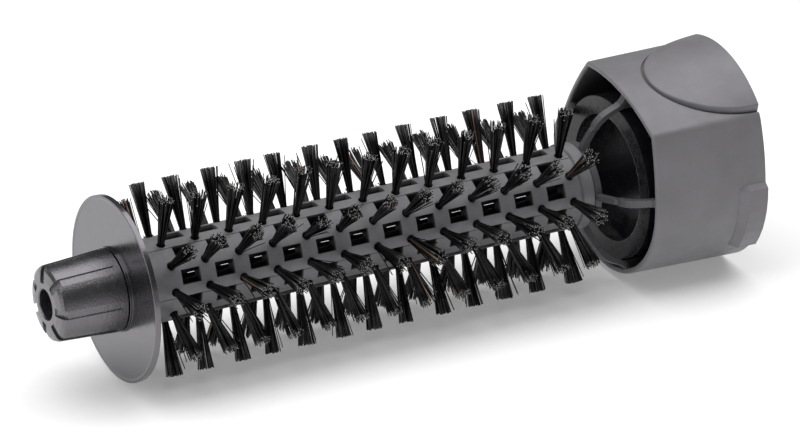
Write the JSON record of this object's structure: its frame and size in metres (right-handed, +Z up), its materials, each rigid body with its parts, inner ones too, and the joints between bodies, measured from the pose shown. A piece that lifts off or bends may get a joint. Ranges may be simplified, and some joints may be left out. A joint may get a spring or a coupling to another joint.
{
  "type": "hot air brush attachment",
  "caption": "Round bristle brush head with a vented barrel, guard disc, grooved turning tip and a collar that plugs onto a hot-air handle.",
  "frame": {"origin": "centre of the handle socket's mouth, on the collar's rear face", "axes": "+X along the brush's axis, out of the collar's rear face towards the handle (the tip is at -X); +Z up with the brush lying on its side, the thumb pad rolled 13.2 degrees from +Z towards -Y"},
  "size_m": [0.1476, 0.043, 0.0449],
  "materials": {
    "collar_plastic": "fine spark-eroded satin",
    "funnel_plastic": "dark, fairly glossy",
    "barrel_plastic": "matte, lightly marked",
    "core_plastic": "matte",
    "disc_plastic": "satin",
    "cap_plastic": "speckled satin",
    "bristle_nylon": "fine filaments, glossy along their length",
    "screw_steel": "dulled zinc plating",
    "insert_brass": "turned",
    "anchor_metal": "drawn wire"
  },
  "bodies": {
    "brush_head": {"outer_collar": "collar_plastic", "rib_spider": "collar_plastic", "air_funnel": "funnel_plastic", "base_ring": "barrel_plastic", "barrel_core": "core_plastic", "barrel_stave_1": "barrel_plastic", "barrel_stave_2": "barrel_plastic", "barrel_stave_3": "barrel_plastic", "barrel_stave_4": "barrel_plastic", "barrel_stave_5": "barrel_plastic", "tuft_row_01": "bristle_nylon", "tuft_row_02": "bristle_nylon", "tuft_row_03": "bristle_nylon", "tuft_row_04": "bristle_nylon", "tuft_row_05": "bristle_nylon", "tuft_row_06": "bristle_nylon", "tuft_row_07": "bristle_nylon", "tuft_row_08": "bristle_nylon", "tuft_row_09": "bristle_nylon", "tuft_row_10": "bristle_nylon", "tuft_anchors": "anchor_metal", "end_disc": "disc_plastic", "screw_insert": "insert_brass", "tip_washer": "screw_steel", "tip_screw": "screw_steel"},
    "tip": {"tip_cap": "cap_plastic"}
  },
  "joints": [
    {"name": "tip_swivel", "type": "hinge", "parent": "brush_head", "child": "tip", "pos_m": [-0.1411, 0, 0], "axis": [1, 0, 0], "continuous": true}
  ]
}
